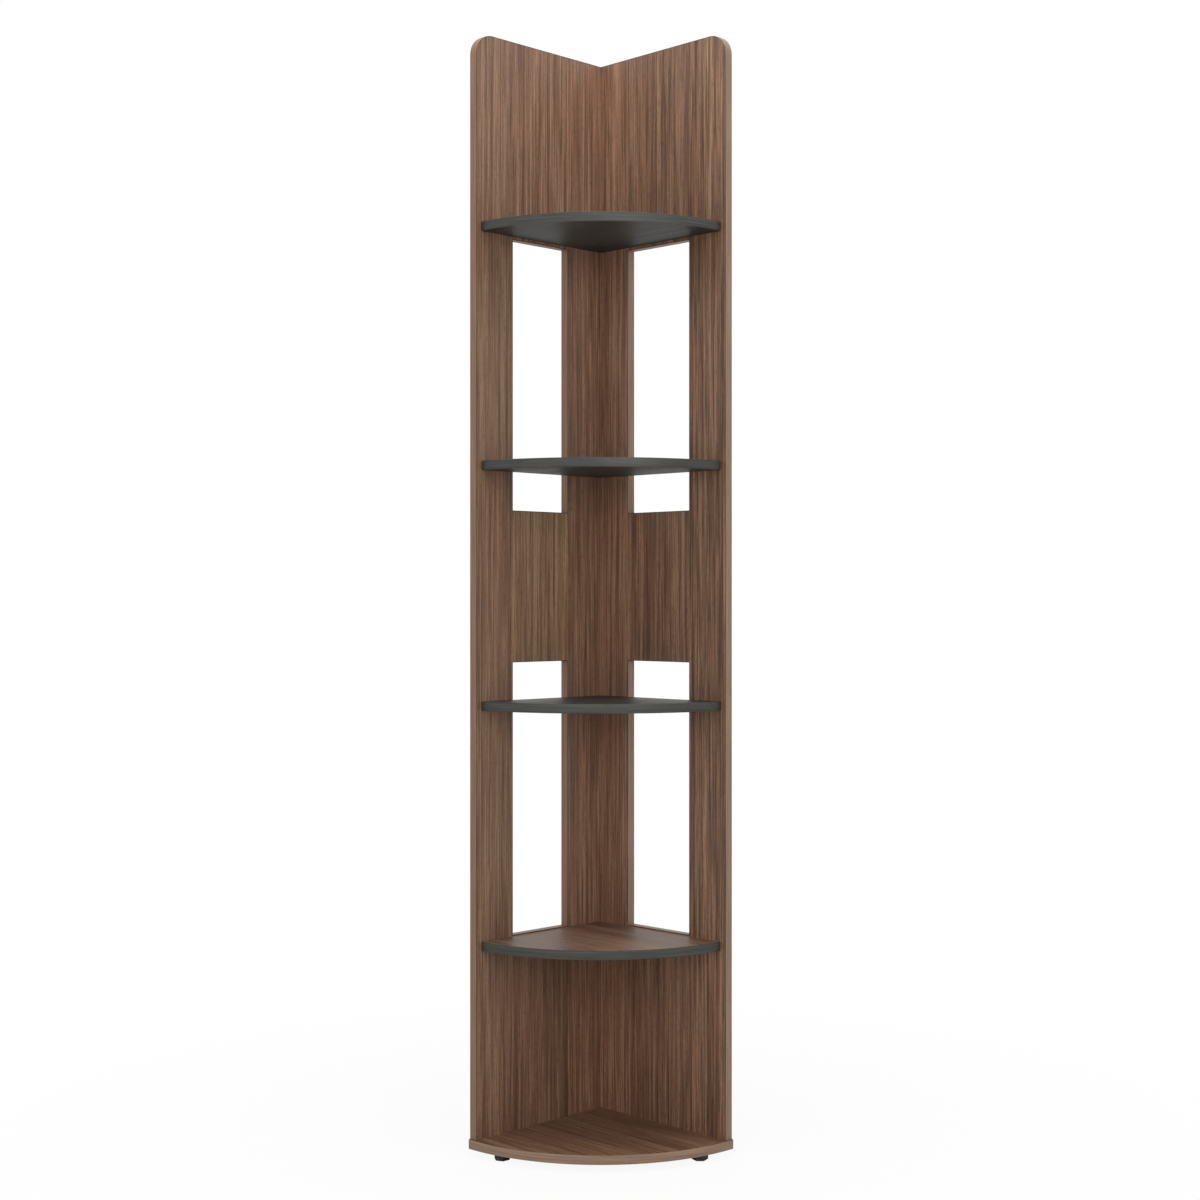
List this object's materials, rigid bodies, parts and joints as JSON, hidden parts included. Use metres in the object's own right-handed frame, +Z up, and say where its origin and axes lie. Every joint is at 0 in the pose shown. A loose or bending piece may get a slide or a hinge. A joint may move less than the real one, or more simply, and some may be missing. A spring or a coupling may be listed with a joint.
{
  "type": "corner shelving unit",
  "caption": "Tall free-standing corner shelving unit with quarter-round shelves between two open wall frames at a right angle, on a quarter-round base.",
  "frame": {"origin": "middle of the footprint, on the floor", "axes": "+Z up; the left wall closes the -X side, the right wall closes the +Y side, and the open quarter looks towards +X and -Y"},
  "size_m": [0.3045, 0.3045, 1.818],
  "materials": {
    "walnut_board": "dark walnut melamine, satin",
    "walnut_band": "walnut edge band, satin",
    "graphite_board": "graphite melamine, satin",
    "graphite_band": "graphite edge band, satin",
    "raw_wood": "bare plywood",
    "screw_steel": "zinc plated",
    "glide_plastic": "moulded, matt"
  },
  "bodies": {
    "root": {"base_band": "walnut_band", "base_board": "walnut_board", "base_screws": "screw_steel", "bottom_shelf": "walnut_board", "bottom_shelf_band": "graphite_band", "corner_screws": "screw_steel", "glides": "glide_plastic", "left_inner_stile": "walnut_board", "left_lower_board": "walnut_board", "left_lower_window_band": "walnut_band", "left_middle_board": "walnut_board", "left_outer_stile": "walnut_board", "left_rim_band": "walnut_band", "left_top_board": "walnut_board", "left_upper_window_band": "walnut_band", "left_wall_tongues": "raw_wood", "lower_shelf": "graphite_board", "lower_shelf_band": "graphite_band", "right_inner_stile": "walnut_board", "right_lower_board": "walnut_board", "right_lower_window_band": "walnut_band", "right_middle_board": "walnut_board", "right_outer_stile": "walnut_board", "right_rim_band": "walnut_band", "right_top_board": "walnut_board", "right_upper_window_band": "walnut_band", "right_wall_tongues": "raw_wood", "shelf_screws": "screw_steel", "top_shelf": "graphite_board", "top_shelf_band": "graphite_band", "upper_shelf": "graphite_board", "upper_shelf_band": "graphite_band"}
  },
  "joints": []
}
